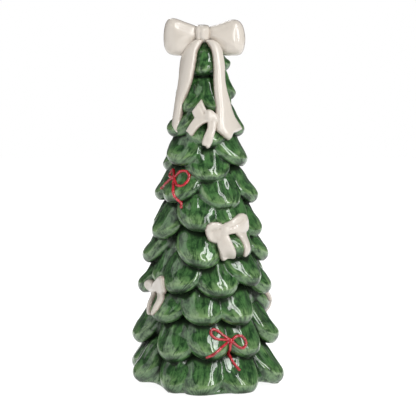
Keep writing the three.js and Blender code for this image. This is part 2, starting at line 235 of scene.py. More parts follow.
def paintGreen():
    values = glazeValues
    paint = Paint("greenGlaze")
    along, across, seed, pool, crest = map(paint.read, ("along", "across", "seed", "pool", "crest"))
    petal = paint.place(
        across * (20 / values["streakWidth"]), along * (40 / values["streakLength"]), seed * 31)
    streaks = paint.noise(petal, 1.0, 4.0, 0.7, 1.4)
    clouds = paint.noise(paint.spot(), values["mottle"], 4.0, 0.62, 0.6)
    both = streaks + clouds
    tone = paint.ease(both * 0.75 - 0.25, *values["toneRange"])
    body = paint.blend(tone, values["body"], values["bright"])

    # glaze thins over crests; the pale band near the lip and the pale line along the rim are partly thin
    # glaze and partly painted highlight
    side = across.math("ABSOLUTE")
    patchy = paint.ease(both, 0.75, 1.2)
    thin = paint.ease(crest, 0.5, 0.9) * patchy
    run = paint.ease(along, 0.7, 0.84) * paint.ease(along, 0.86, 0.95, 1, 0)
    run = run * paint.ease(side, 0.3, 0.85, 1, 0)
    rim = (side ** 5 + (along / 0.97).math("MINIMUM", 1) ** 7).math("MINIMUM", 2)
    line = paint.ease(rim, 0.42, 0.6) * paint.ease(rim, 0.66, 0.86, 1, 0) * paint.ease(along, 0.4, 0.6)
    pale = thin * values["thinCrest"] + run * patchy * values["run"]
    pale = pale + line * (0.25 + patchy) * values["rimGlazeAndHighlight"]
    body = paint.blend(pale.clipped(), body, values["lip"])

    # darker in crevices, hollows and folds: partly pooled glaze, partly painted shade
    dark = paint.ease(pool - crest * 0.16 + (clouds - 0.5) * 0.25, *values["poolAndShadeRange"])
    # the underside of the lip's end is darkened too: painted shade
    dark = dark.math("MAXIMUM", paint.ease(along, 0.95, 0.99) * 0.8)
    # the deep colour stands for pooled glaze and painted shade
    color = paint.blend((dark * 0.95).clipped(), body, values["deep"])
    warp = paint.noise(paint.place(across * 1.5, along * 3, seed * 90), 1.0, 1.0)
    wave = (across + warp * 0.5) * values["pleats"] + seed * 40
    fold = (1 - wave.math("SINE").math("ABSOLUTE")) ** 1.5
    some = paint.ease((seed * 7.3).math("FRACT"), 0.1, 0.7)
    pleat = fold * paint.ease(along, 0.45, 0.78, 1, 0) * paint.ease(warp, 0.35, 0.6) * some
    # fold lines darkened towards the deep colour: painted shade in the folds, partly pooled glaze
    color = paint.blend((pleat * 0.6).clipped(), color, values["deep"])
    veil = paint.ease(both, 0.7, 1.2, 0.4, 1)  # thick and thin glaze mirror unevenly
    return paint.end(color, streaks * values["ripple"] - pleat * values["pleatDepth"], 1.0, 0.001, {
        "Roughness": values["roughness"], "Specular IOR Level": 0.1,
        "Coat Roughness": values["coatRoughness"], "Coat IOR": values["coatIor"],
        "Coat Weight": (1 - dark * values["dullCrevices"]) * veil})


clayValues = {
    "cream": (0.7, 0.64, 0.565, 1), "shade": (0.4, 0.31, 0.25, 1), "roughness": 0.35, "coatRoughness": 0.11,
    "bump": 0.25,
}


def paintWhite():
    values = clayValues
    paint = Paint("whiteGlaze")
    clouds = paint.noise(paint.spot(), 70.0, 4.0, 0.6)
    # creases turn a warm brown: painted shade, with random tone from the clouds
    tintAndShade = paint.ease(paint.read("pool") + clouds * 0.35, 0.2, 0.95)
    color = paint.blend((tintAndShade * 0.8).clipped(), values["cream"], values["shade"])
    return paint.end(color, clouds + paint.noise(paint.spot(), 420.0, 2.0) * 0.2, values["bump"], 0.0008, {
        "Roughness": values["roughness"], "IOR": 1.5, "Coat Weight": 1.0,
        "Coat Roughness": values["coatRoughness"], "Coat IOR": 1.5})


plainValues = {  # grain: scale and detail; ease: from one tone to the other; bump: strength and depth
    "redSlip": {
        "grain": (300, 3), "ease": (0.35, 0.7), "bump": (0.3, 0.0004),
        "tones": [(0.62, 0.012, 0.03, 1), (0.3, 0.004, 0.012, 1)],
        "surface": {"Roughness": 0.3, "Coat Weight": 1, "Coat Roughness": 0.05, "Coat IOR": 1.5}},
    "bareClay": {
        "grain": (900, 4), "ease": (0.3, 0.7), "bump": (0.4, 0.0002),
        "tones": [(0.66, 0.58, 0.48, 1), (0.55, 0.47, 0.38, 1)], "surface": {"Roughness": 0.85}},
    "darkFelt": {
        "grain": (1800, 6, 0.75, 1.5), "ease": (0.3, 0.7), "bump": (0.8, 0.0004),
        "tones": [(0.03, 0.03, 0.03, 1), (0.07, 0.068, 0.065, 1)],
        "surface": {"Roughness": 1, "Sheen Weight": 0.3}},
}


def paintPlain(name):
    values = plainValues[name]
    paint = Paint(name)
    grain = paint.noise(paint.spot(), *values["grain"])
    color = paint.blend(paint.ease(grain, *values["ease"]), *values["tones"])
    return paint.end(color, grain, *values["bump"], values["surface"])


greenGlaze, whiteGlaze = paintGreen(), paintWhite()
redSlip, bareClay, darkFelt = (paintPlain(name) for name in plainValues)
print("materials ready")


# The tree: boughs in tiers round a hollow cone

poolAndShadeValues = {
    "creaseSteps": 6, "everywhere": 0.05, "directions": 14, "spread": 0.92, "reach": 13,
    "blur": 2, "crestBlur": 14,
}

coneValues = {
    "height": 284, "footRadius": 45, "topRadius": 9, "belly": 4.5, "wall": 5, "floor": 7, "headroom": 25,
    "apex": 286, "footRing": 38, "footRingWidth": 13, "footRingHeight": 2, "pourHole": 11, "underside": 1.3,
}

boughValues = {
    "lengths": (40, 33), "thicknesses": (14, 10),  # at the foot and at the apex
    "widest": 38, "widestOfReach": 1.35, "overlap": 1.12, "grip": 6, "lipRounding": 0.3,
    "flare": 1.1, "wrap": 0.8, "tipAlong": 0.86, "sides": 48, "rings": 36, "lipTrim": 0.2,
    "frontSwell": 1.6, "filling": 2.0, "lean": 3.5, "tip": 0.18, "randomSeed": 3, "sharpest": 42,
    "outlineEgg": (0.6, 2.8, 2.1), "swellEgg": (0.7, 1.95, 2.6), "reachEgg": (0.7, 2.4, 2.6),
    "dishDepth": 1.0, "rimDepth": 0.8, "rimWidth": 6.5, "wobble": 1.5, "pleats": 9.0, "pleatDepth": 1.0,
    "skirtShare": 0.77, "skirtProud": 3.5, "skirtSteps": 96, "skirtRows": 10, "skirtLip": 3,
    "skirtValley": 7, "skirtNotch": 4, "skirtGap": 38, "baseShare": 0.95, "baseValley": 0.9,
    "tiers": [  # lip height, reach, and the boughs: azimuth, lip above the tier's, extra reach, width
        (-4, 65, [(-100, 8, -2), (-63, 5, 0, 0.9), (-28, 1, 0, 0.8), (0, -1, 1, 1.05), (31, -1, 1, 1.08),
                  (76, 1, 1), (115, 2), (150, 0), (187, 3), (224, 1)]),
        (22, 60, [(-88, 9, 1), (-31, -1), (3, 2), (38, 2), (90, 7, 1), (130, 6), (168, 2), (204, 5),
                  (238, 2)]),
        (51, 57, [(-42, 1), (-5, 1), (31, 0), (112, 2), (150, -1), (187, 3), (222, 0)]),
        (76, 55, [(-95, -5, 1), (-62, 5, -7), (-28, 1), (11, -2), (47, 6), (82, -4), (126, 2), (168, -2),
                  (205, 3), (236, 0)]),
        (101, 52, [(-83, -3, 0), (-10, -2), (35, 6), (88, -2), (125, -2), (163, 3), (202, 0), (238, 4)]),
        (122, 47, [(-63, -3), (-10, 6), (36, 6), (82, -1), (122, 3), (162, -2), (200, 4), (242, 0)]),
        (147, 42, [(-100, 3, 0), (-43, 3), (27, -3), (85, 1, 1), (128, 0), (172, 3), (214, -2)]),
        (176, 36, [(-52, 5), (3, -9), (60, 4), (108, 2), (155, -3), (205, 2), (256, -2)]),
        (203, 31, [(-66, 1, 2), (5, -7), (85, 1, 1), (135, -2), (182, 3), (233, 0)]),
        (231, 24.5, [(-100, 3), (-50, -8, 2), (36, -8, 2), (88, 3), (145, 0), (202, 3)]),
        (256, 19, [(-92, 2), (-4, -2), (85, 2, 1), (178, 0)]),
    ],
}


def coneRadius(z):  # the plain cone under the boughs, in mm
    values = coneValues
    rise = min(max(z / values["height"], 0), 1)
    straight = values["footRadius"] + (values["topRadius"] - values["footRadius"]) * rise
    return straight + values["belly"] * math.sin(math.pi * rise) * (1 - rise)


def egg(along, widest, rootPower, endPower):  # an outline blunter at its ends with larger powers
    away = (widest - along) / widest if along < widest else (along - widest) / (1 - widest)
    power = rootPower if along < widest else endPower
    return max(0, 1 - away ** power) ** (1 / power)


def listBoughs():
    values = boughValues
    random = Random(values["randomSeed"])
    boughs, tiers = [], []
    for tierLip, tierReach, seats in values["tiers"]:
        order = sorted(seats)
        share = tierLip / coneValues["height"]
        ends = (values["lengths"], values["thicknesses"])
        fullLength, thickness = (low + (high - low) * share for low, high in ends)
        for i, (azimuth, rise, *further) in enumerate(order):
            extra, width = further + [0, 1][len(further):]
            before, after = order[i - 1][0], order[(i + 1) % len(order)][0]
            gap = ((azimuth - before) % 360 + (after - azimuth) % 360) / 2
            even = values["overlap"] * math.radians(gap) * tierReach
            even = min(even, values["widest"], values["widestOfReach"] * tierReach)
            lip = tierLip + rise + values["lipRounding"] * thickness
            length = min(fullLength, coneValues["height"] - values["grip"] / 2 - lip)
            reach = tierReach + extra
            root = max(0, coneRadius(lip + length) - values["grip"])
            slope = values["flare"] * (reach - root) / length
            swell = values["frontSwell"] * egg(values["tipAlong"], *values["reachEgg"])
            proud = thickness / 2 * swell / math.hypot(1, slope)
            spread = (reach - proud - root) / values["tipAlong"] ** values["flare"]
            boughs.append({
                "azimuth": math.radians(azimuth), "top": (lip + length) * mm, "length": length * mm,
                "halfWidth": even / 2 * width * mm,
                "halfThickness": thickness / 2 * mm, "root": root * mm, "spread": spread * mm,
                "reach": reach * mm, "seed": (len(boughs) * 0.618) % 1,
                "which": len(boughs), "isSkirt": 0, "along": 0, "across": 0,
                "lean": random.uniform(-1, 1) * values["lean"] * mm,
                "tip": random.uniform(-1, 1) * values["tip"],
            })
        tiers.append(boughs[-len(order):])
    return boughs, tiers


def skirtRings(tier, boughs):  # the sheet that joins the boughs of a tier, ring after ring
    values = boughValues
    turns = [math.degrees(bough["azimuth"]) for bough in boughs]
    at = np.arange(values["skirtSteps"]) * 360 / values["skirtSteps"] - 180

    def around(key):
        return np.interp(at, turns, [bough[key] for bough in boughs], period=360)

    root, spread, top, length = around("root"), around("spread"), around("top"), around("length")
    places = np.array(turns + [turns[0] + 360])
    seat = np.searchsorted(places, (at - places[0]) % 360 + places[0], side="right") - 1
    gaps = places[seat + 1] - places[seat]
    share = ((at - places[0]) % 360 + places[0] - places[seat]) / gaps
    valley = np.sin(np.pi * share) * np.minimum(gaps / values["skirtGap"], 1.4) ** (1 if tier else 2.2)
    fall = values["skirtShare"] if tier else values["baseShare"]
    deep = values["skirtValley"] * (1 if tier else values["baseValley"]) * mm
    lip = values["skirtLip"] * mm
    rings = []
    for row in range(values["skirtRows"] + 1):
        down = row / values["skirtRows"]
        along = fall * down
        radius = root + spread * along ** values["flare"] + values["skirtProud"] * mm * (row > 0)
        radius = radius - deep * valley * down ** 2
        raised = values["skirtNotch"] * mm * valley * down
        rings.append((radius, top - length * along + raised, along))
    radius, z, along = rings[-1]
    rings += [(radius - 0.1 * lip, z - 0.5 * lip, along), (radius - 0.5 * lip, z - 0.9 * lip, along),
              (radius - lip, z - lip, along), (radius - 2 * lip, z - 0.8 * lip, along)]
    inner = 0.5 * root
    rings += [(inner, z, along), (inner, top, 0)]
    turn = np.radians(at)
    return [np.stack([radius * np.sin(turn), -radius * np.cos(turn), z + 0 * turn, along + 0 * turn], axis=1)
            for radius, z, along in rings]


def boughTree(inputs):
    tree = Making("boughTiers", inputs)
    ball = tree.node("GeometryNodeMeshUVSphere", None, {
        "Segments": tree.given("sides"), "Rings": tree.given("rings"), "Radius": 1.0})
    spot = tree.node("ShaderNodeSeparateXYZ", None, {0: tree.spot()})
    along = ((1 - spot.other("Z")) / 2).math("MAXIMUM", 0) ** 0.8
    turn = spot.other("Y").math("ARCTAN2", spot.other("X"))
    around = turn + turn.math("COSINE") * 0.4
    bough = tree.store(ball, "along", along)
    bough = tree.store(bough, "across", 0 - around.math("COSINE"))
    bough = tree.store(bough, "facing", around.math("SINE"))
    parts = tree.node("GeometryNodeSeparateGeometry", {"domain": "POINT"}, {
        "Geometry": tree.given("Geometry"), "Selection": tree.named("isSkirt")})
    seats = tree.node("GeometryNodeInstanceOnPoints", None, {
        "Points": parts.other("Inverted"), "Instance": bough})
    boughs = tree.node("GeometryNodeRealizeInstances", None, {0: seats})

    def eggOutline(along, widest, rootPower, endPower):
        away = ((widest - along) / widest).math("MAXIMUM", (along - widest) / (1 - widest))
        power = rootPower + along.math("GREATER_THAN", widest) * (endPower - rootPower)
        return (1 - away ** power).math("MAXIMUM", 0) ** (1 / power)

    along, across, facing, seed, azimuth, top, length = map(tree.named, (
        "along", "across", "facing", "seed", "azimuth", "top", "length"))
    halfWidth, halfThickness, root, spread, reach, lean, tip = map(tree.named, (
        "halfWidth", "halfThickness", "root", "spread", "reach", "lean", "tip"))
    flare = tree.given("flare")
    outline = eggOutline(along, *boughValues["outlineEgg"])
    swell = eggOutline(along, *boughValues["swellEgg"])
    front = tree.ease(facing, 0.0, 0.5)

    # a rolled rim runs round a dished face
    edge = ((1 - across.math("ABSOLUTE")) * halfWidth * outline).math(
        "SMOOTH_MIN", (1 - along) * length, 0.004)
    inside = tree.ease(edge, tree.given("rimWidth") * 0.35, tree.given("rimWidth") * 1.3)
    groove = inside * front * tree.ease(along, 0.3, 0.62) * tree.given("rimDepth")
    lumps = tree.noise(tree.place(across * 9, along * 14, seed * 130), 0.2, 2.0)
    wobble = (lumps - 0.5) * tree.given("wobble") * 2
    low = (along - 0.6) / 0.17
    aside = (across + (seed - 0.5) * 0.5) / 0.62
    dish = (0 - low * low - aside * aside).math("EXPONENT") * front * tree.given("dishDepth")

    # the front swells square to the bough, the back fills the space under it
    side = halfWidth * outline * across + lean * along ** 2
    swelled = halfThickness * swell * facing
    gathered = tree.ease(along, 0.1, 0.3) * tree.ease(along, 0.5, 0.78, 1, 0)
    gathered = tree.ease((seed * 7.3).math("FRACT"), 0.2, 0.6) * gathered  # on some boughs only
    wave = (across * tree.given("pleats") + lumps * 4 + seed * 40).math("SINE")
    folds = wave * gathered * tree.given("pleatDepth")
    relief = (wobble + folds) * front - groove - dish
    raised = swelled.math("MAXIMUM", 0) * tree.given("frontSwell") + relief * swell
    filled = swelled.math("MINIMUM", 0) * tree.given("filling")
    slope = spread * flare * along ** (flare - 1) / length
    tilt = (slope * slope + 1).math("SQRT")
    radius = root + spread * along ** flare + raised / tilt + filled
    radius = radius - side * side * tree.given("wrap") / (reach * 2)
    z = top - length * along + raised * slope / tilt + side * tip * along
    x = azimuth.math("SINE") * radius + azimuth.math("COSINE") * side
    y = azimuth.math("SINE") * side - azimuth.math("COSINE") * radius
    moved = {"Geometry": boughs, "Position": tree.place(x, y, z)}
    shaped = tree.node("GeometryNodeSetPosition", None, moved)
    shaped = tree.node("GeometryNodeJoinGeometry", None, {0: shaped})
    tree.tree.links.new(parts.socket, shaped.socket.node.inputs[0])

    # every bough is joined to the rest, and gets its patterns back from the nearest one
    apart = tree.node("GeometryNodeSplitToInstances", {"domain": "POINT"}, {
        "Geometry": shaped, "Group ID": tree.named("which", "INT")})
    joined = tree.node("GeometryNodeMeshBoolean", {"operation": "UNION", "solver": "MANIFOLD"}, {
        "Mesh 2": apart})
    for name in ("along", "across", "seed"):
        near = tree.node("GeometryNodeSampleNearestSurface", {"data_type": "FLOAT"}, {
            "Mesh": shaped, "Value": tree.named(name), "Sample Position": tree.spot()})
        joined = tree.store(joined, name, near)
    tree.end(joined)
    return tree


def softenTree(inputs):  # thick glaze rounds the creases where boughs meet
    tree = Making("softCreases", inputs)
    spot, normal = tree.spot(), tree.node("GeometryNodeInputNormal")
    outward = tree.vector("SUBTRACT", tree.blurred(spot, 5), spot)
    sunk = tree.vector("DOT_PRODUCT", outward, normal, out="Value")
    crease = tree.blurred(tree.ease(sunk, 0.00012, 0.0006), 3, kind="FLOAT")
    up = tree.vector("DOT_PRODUCT", spot, (0, 0, 1), out="Value")
    crease = crease.math("MAXIMUM", tree.given("everywhere")) * tree.ease(up, 0.003, 0.008)
    soft = tree.blurred(spot, tree.given("creaseSteps"), crease)
    moved = {"Geometry": tree.given("Geometry"), "Position": soft}
    tree.end(tree.node("GeometryNodeSetPosition", None, moved), False)
    return tree


def glazeTree(inputs):  # how enclosed each spot is, for pooled glaze and painted shade in hollows, and where glaze thins over crests
    tree = Making("glazeDepth", inputs)
    values = poolAndShadeValues
    mesh, reach, count = tree.given("Geometry"), tree.given("reach"), values["directions"]
    spot, normal = tree.spot(), tree.node("GeometryNodeInputNormal")
    start = tree.vector("ADD", spot, tree.vector("SCALE", normal, Scale=0.0005))
    pool = None
    for i in range(count):  # rays spread evenly over the half sphere round the normal
        high = 1 - (2 * i + 1) / count
        turn = i * 2.39996
        level = math.sqrt(1 - high * high)
        lean = Vector((level * math.cos(turn), level * math.sin(turn), high)) * values["spread"]
        ray = tree.node("GeometryNodeRaycast", None, {
            "Target Geometry": mesh, "Source Position": start, "Ray Length": reach,
            "Ray Direction": tree.vector("ADD", normal, tuple(lean))}, out="Is Hit")
        near = ray * (1 - ray.other("Hit Distance") / reach)
        pool = near if pool is None else pool + near
    soft = tree.blurred(pool / count, values["blur"], kind="FLOAT")
    away = tree.vector("SUBTRACT", spot, tree.blurred(spot, tree.given("crestBlur")))
    crest = tree.vector("DOT_PRODUCT", away, normal, out="Value") * 1000
    # the enclosure is stored for the materials: pooled glaze and painted shade in hollows
    tree.end(tree.store(tree.store(mesh, "pool", soft), "crest", crest), False)
    return tree


def lathe(name, profile, sides, material):  # radii and heights in mm, from the axis to the axis
    points, faces, rows = [], [], []
    for radius, z in profile:
        if radius == 0:
            rows.append([len(points)] * sides)
            points.append((0, 0, z * mm))
        else:
            rows.append([len(points) + i for i in range(sides)])
            points += [(radius * mm * math.cos(a), radius * mm * math.sin(a), z * mm)
                       for a in (2 * math.pi * i / sides for i in range(sides))]
    for low, high in zip(rows, rows[1:]):
        for i in range(sides):
            j = (i + 1) % sides
            faces.append(list(dict.fromkeys((low[i], low[j], high[j], high[i]))))
    return addPiece(name, points, faces, material)


def coneProfile():
    values = coneValues
    radius = values["topRadius"]
    shoulder = values["apex"] - radius
    under = values["underside"]
    profile = [(0, under), (values["footRing"] + values["footRingWidth"] / 2, under)]
    profile += [(coneRadius(z), z) for z in np.linspace(under + values["footRingHeight"], shoulder, 30)]
    for i in range(1, 6):
        angle = i / 6 * math.pi / 2
        profile.append((radius * math.cos(angle), shoulder + radius * math.sin(angle)))
    return profile + [(0, values["apex"])]


def hollowProfile():
    values = coneValues
    floorUnder = values["underside"] + values["footRingHeight"]
    floorTop = floorUnder + values["floor"]
    recess = values["footRing"] - values["footRingWidth"] / 2
    top = values["height"] - values["topRadius"] - values["headroom"]
    profile = [(0, -1), (recess, -1), (recess, floorUnder), (values["pourHole"], floorUnder),
               (values["pourHole"], floorTop)]
    profile += [(coneRadius(z) - values["wall"], z) for z in np.linspace(floorTop, top, 16)]
    return profile + [(0, top + (coneRadius(top) - values["wall"]) / 2)]


def cut(piece, tool, operation):
    modifier = piece.modifiers.new(operation, "BOOLEAN")
    modifier.operation = operation
    modifier.object = tool
    modifier.solver = "MANIFOLD"
    modifier.material_mode = "TRANSFER"


def makeTree():
    values = boughValues
    boughs, tiers = listBoughs()
    points = [(i * 0.01, 0, 0) for i in range(len(boughs))]
    faces = []
    steps = values["skirtSteps"]
    told = {key: [bough[key] for bough in boughs] for key in boughs[0]}
    for tier, members in enumerate(tiers):
        rings = skirtRings(tier, members)
        first = len(points)
        for ring in rings:
            own = {"which": [len(boughs) + tier] * steps, "isSkirt": [1] * steps,
                   "seed": [0.1 * tier] * steps, "along": list(ring[:, 3] * 0.8),
                   "across": [math.sin(i * 0.9) for i in range(steps)]}
            points += [tuple(spot[:3]) for spot in ring]
            for key in told:
                told[key] += own.get(key, [0] * steps)
        for row in range(len(rings)):
            high, low = first + row * steps, first + (row + 1) % len(rings) * steps
            for i in range(steps):
                j = (i + 1) % steps
                faces.append((high + i, low + i, low + j, high + j))
    tree = addPiece("tree", points, faces)
    for key, column in told.items():
        kind = "INT" if key == "which" else "FLOAT"
        tree.data.attributes.new(key, kind, "POINT").data.foreach_set("value", column)
    plain = ("sides", "rings", "flare", "wrap", "filling", "frontSwell", "pleats")
    inputs = {name: values[name] for name in plain}
    for name in ("rimDepth", "rimWidth", "dishDepth", "wobble", "pleatDepth"):
        inputs[name] = values[name] * mm
    boughTree({**inputs, "material": greenGlaze}).apply(tree)
    print("boughs joined:", len(tree.data.polygons), "faces")
    core = lathe("core", coneProfile(), 96, greenGlaze)
    hollow = lathe("hollow", hollowProfile(), 64, bareClay)
    trim = values["lipTrim"] + coneValues["underside"]
    below = addPiece("below", *boxMesh(0.2, 0.2, 0.1, trim * mm), bareClay)
    cut(tree, below, "DIFFERENCE")
    cut(tree, core, "UNION")
    bake(tree)
    softenTree({name: poolAndShadeValues[name] for name in ("creaseSteps", "everywhere")}).apply(tree)
    cut(tree, hollow, "DIFFERENCE")
    bake(tree)
    for tool in (core, hollow, below):
        bpy.data.objects.remove(tool)
    glazeTree({"reach": poolAndShadeValues["reach"] * mm, "crestBlur": poolAndShadeValues["crestBlur"]}).apply(tree)
    return tree


def boxMesh(width, depth, height, top):
    points = [(x * width / 2, y * depth / 2, z) for z in (top - height, top)
              for x, y in ((-1, -1), (1, -1), (1, 1), (-1, 1))]
    return points, [(0, 3, 2, 1), (4, 5, 6, 7), (0, 1, 5, 4), (1, 2, 6, 5), (2, 3, 7, 6), (3, 0, 4, 7)]


tree = makeTree()
tree.data.shade_smooth()
tree.data.set_sharp_from_angle(angle=math.radians(boughValues["sharpest"]))
print("tree:", len(tree.data.polygons), "faces")
treeSurface = BVHTree.FromObject(tree, bpy.context.evaluated_depsgraph_get())


# Clay laid on the tree: outlines in mm, u to the right and v up, seen square on at an azimuth

clayRules = {
    "grid": 0.5, "outlineStep": 0.8, "farOut": 150, "hollowBlur": 14, "hollowDepth": 0.9, "gapFall": 0.15,
    "drapeBlur": 60,
}
clayGrid = clayRules["grid"]


def cornersOf(outline, scale=1.0, mirrored=False):
    return np.array(outline, float) * (-scale if mirrored else scale, scale)


def alongLine(corners, step, least, closed):  # places at even steps along measured corners
    corners = np.concatenate([corners, corners[:1]]) if closed else corners
    places = np.concatenate([[0], np.cumsum(np.hypot(*np.diff(corners, axis=0).T))])
    at = np.linspace(0, places[-1], max(least, int(places[-1] / step)), endpoint=not closed)
    return np.stack([np.interp(at, places, corners[:, k]) for k in (0, 1)], axis=1)


def closedCurve(points, softening):
    curve = alongLine(points, clayRules["outlineStep"], 12, True)
    for _ in range(softening):
        curve = (np.roll(curve, 1, 0) + 2 * curve + np.roll(curve, -1, 0)) / 4
    return curve


def softened(line, times):  # an open line, its ends held
    for _ in range(times):
        line[1:-1] = (line[:-2] + 2 * line[1:-1] + line[2:]) / 4
    return line


def awayFrom(spots, start, run):  # the square of the distance to a straight piece of line
    share = np.clip(((spots - start) @ run) / (run @ run), 0, 1)
    return ((spots - start - share[:, None] * run) ** 2).sum(1)


def depthInside(spots, outline):  # how far inside a closed outline each spot lies, negative outside
    nearest = np.full(len(spots), 1e9)
    inside = np.zeros(len(spots), bool)
    for start, end in zip(outline, np.roll(outline, -1, 0)):
        run = end - start
        nearest = np.minimum(nearest, awayFrom(spots, start, run))
        crosses = (start[1] > spots[:, 1]) != (end[1] > spots[:, 1])
        if run[1] != 0:
            meets = start[0] + (spots[:, 1] - start[1]) / run[1] * run[0]
            inside ^= crosses & (spots[:, 0] < meets)
    return np.where(inside, 1, -1) * np.sqrt(nearest)


def rounded(depth, edge, power=2.2):  # 0 at an outline, then a quarter round up to 1
    short = 1 - np.clip(depth / edge, 0, 1)
    return (1 - short ** power) ** (1 / power)


def easeStep(value, low, high):
    share = np.clip((value - low) / (high - low), 0, 1)
    return share * share * (3 - 2 * share)


def softMax(one, two, width):
    share = np.clip(0.5 + (one - two) / (2 * width), 0, 1)
    return two + (one - two) * share + width * share * (1 - share)


def blur(field, passes):
    for axis in (0, 1):
        lines = np.moveaxis(field, axis, 0)
        for _ in range(passes):
            wide = np.concatenate([lines[:1], lines, lines[-1:]])
            lines = (wide[:-2] + 2 * lines + wide[2:]) / 4
        field = np.moveaxis(lines, 0, axis)
    return field


def spreadMost(field, reach, pick):  # the most (or least) of a field within a reach of cells
    for axis in (0, 1):
        lines = np.moveaxis(field, axis, 0)
        wide = np.concatenate([lines[:1]] * reach + [lines] + [lines[-1:]] * reach)
        lines = pick([wide[k:k + len(lines)] for k in range(2 * reach + 1)], axis=0)
        field = np.moveaxis(lines, 0, axis)
    return field


def facingDirections(azimuth):
    turn = math.radians(azimuth)
    return (np.array([math.cos(turn), math.sin(turn), 0]), np.array([0, 0, 1]),
            np.array([math.sin(turn), -math.cos(turn), 0]))


def treeDepth(us, vs, azimuth, height):  # how far out the tree reaches behind each spot, in mm
    right, up, out = facingDirections(azimuth)
    far = clayRules["farOut"]
    found = np.full(us.shape, np.nan)
    for index in np.ndindex(us.shape):
        start = (us[index] * right + (vs[index] + height) * up + far * out) * mm
        hit = treeSurface.ray_cast(Vector(start), Vector(-out), far * mm)
        if hit[0] is not None:
            found[index] = far - hit[3] / mm
    return found


def fillGaps(field):  # spots with no tree behind them carry on from their neighbours
    for _ in range(sum(field.shape)):
        empty = np.isnan(field)
        if not empty.any():
            break
        wide = np.pad(field, 1, constant_values=np.nan)
        around = np.stack([wide[1 + i:wide.shape[0] - 1 + i, 1 + j:wide.shape[1] - 1 + j]
                           for i in (-1, 0, 1) for j in (-1, 0, 1)])
        known = ~np.isnan(around)
        counts = known.sum(0)
        total = np.where(known, around, 0).sum(0)
        field = np.where(empty & (counts > 0), total / np.maximum(counts, 1) - clayRules["gapFall"], field)
    return field


def seatUnder(us, vs, azimuth, height, bridge, softness):  # the tree's surface, its crevices bridged
    depth = fillGaps(treeDepth(us, vs, azimuth, height))
    depth = spreadMost(spreadMost(depth, bridge, np.max), bridge, np.min)
    return blur(depth, softness)


def heightOf(parts, spots, creases=()):  # clay over the seat: the highest of its rounded parts
    total = np.zeros(len(spots))
    for part in parts:
        depth = depthInside(spots, part["curve"])
        own = part["height"] * rounded(depth, part["edge"])
        own += part["dome"] * easeStep(depth, 0, part["domeWidth"])
        total = softMax(total, own, part["blend"]) if part is not parts[0] else own
    for u1, v1, u2, v2, width, deep in creases:
        away = np.sqrt(awayFrom(spots, np.array([u1, v1]), np.array([u2 - u1, v2 - v1])))
        total -= deep * np.exp(-(away / width) ** 2) * np.clip(total / 2, 0, 1)
    return np.maximum(total, 0)


def clayCells(outlines):  # a grid of spots over the outlines, its border moved onto them
    every = np.concatenate(outlines)
    low, high = every.min(0) - 3 * clayGrid, every.max(0) + 3 * clayGrid
    counts = np.ceil((high - low) / clayGrid).astype(int) + 1
    us, vs = np.meshgrid(*(low[k] + clayGrid * np.arange(counts[k]) for k in (0, 1)), indexing="ij")

    def inside(spots):
        return np.max([depthInside(spots, outline) for outline in outlines], axis=0)

    centres = np.stack([us[:-1, :-1] + clayGrid / 2, vs[:-1, :-1] + clayGrid / 2], axis=-1)
    kept = (inside(centres.reshape(-1, 2)) > 0).reshape(centres.shape[:2])
    for _ in range(3):  # cells that touch only at a corner get a neighbour
        for i, j in np.argwhere(kept[:-1, :-1] & kept[1:, 1:] & ~kept[1:, :-1] & ~kept[:-1, 1:]):
            kept[i + 1, j] = True
        for i, j in np.argwhere(~kept[:-1, :-1] & ~kept[1:, 1:] & kept[1:, :-1] & kept[:-1, 1:]):
            kept[i, j] = True
    touching = sum(np.pad(kept.astype(int), ((i, 1 - i), (j, 1 - j))) for i in (0, 1) for j in (0, 1))
    border = (touching > 0) & (touching < 4)
    spots = np.stack([us[border], vs[border]], axis=1)
    nudge = 0.05
    for _ in range(4):
        depth = inside(spots)
        slope = [inside(spots + [nudge, 0]) - depth, inside(spots + [0, nudge]) - depth]
        slope = np.stack(slope, axis=1) / nudge
        size = np.maximum((slope ** 2).sum(1), 0.3)
        spots = spots - np.clip(depth / size, -clayGrid, clayGrid)[:, None] * slope
    us[border], vs[border] = spots.T
    return us, vs, kept, touching > 0, border


def layClay(node, outlines, clay, place, creases=(), soften=2, mirrored=False, scale=1.0):
    parts = []
    for outline, *own in outlines:
        curve = closedCurve(cornersOf(outline, scale, mirrored), clay["softening"])
        parts.append({**clay, **(own[0] if own else {}), "curve": curve})
    us, vs, kept, used, border = clayCells([part["curve"] for part in parts])
    heights = heightOf(parts, np.stack([us.ravel(), vs.ravel()], axis=1), creases).reshape(us.shape)
    heights = np.where(border, 0, blur(heights, soften))
    # how far each spot lies below its blurred surroundings: painted shade in the clay's creases
    hollow = np.clip((blur(heights, clayRules["hollowBlur"]) - heights) / clayRules["hollowDepth"], 0, 1)
    front, back = place(us, vs, heights)
    index = np.full(us.shape, -1)
    index[used] = np.arange(used.sum())
    inner = used & ~border
    under = np.where(border, index, -1)
    under[inner] = used.sum() + np.arange(inner.sum())
    points = np.concatenate([front[used], back[inner]]) * mm
    faces = []
    for i, j in np.argwhere(kept):
        loop = [(i, j), (i + 1, j), (i + 1, j + 1), (i, j + 1)]
        faces.append([int(index[spot]) for spot in loop])
        faces.append([int(under[spot]) for spot in reversed(loop)])
    piece = addPiece(pieceName(node), points, faces, whiteGlaze)
    # painted shade: in the creases of the front, and full on the hidden back
    pool = piece.data.attributes.new("pool", "FLOAT", "POINT")
    pool.data.foreach_set("value", np.concatenate([hollow[used], np.ones(inner.sum())]))
    piece.data.shade_smooth()
    hand(piece, "white_glaze", node)


def offSeat(base, heights, sink):  # the front and back of clay on a seat
    normal = np.cross(np.gradient(base, axis=0), np.gradient(base, axis=1))
    normal /= np.linalg.norm(normal, axis=-1, keepdims=True)
    return base + normal * heights[..., None], base - normal * sink


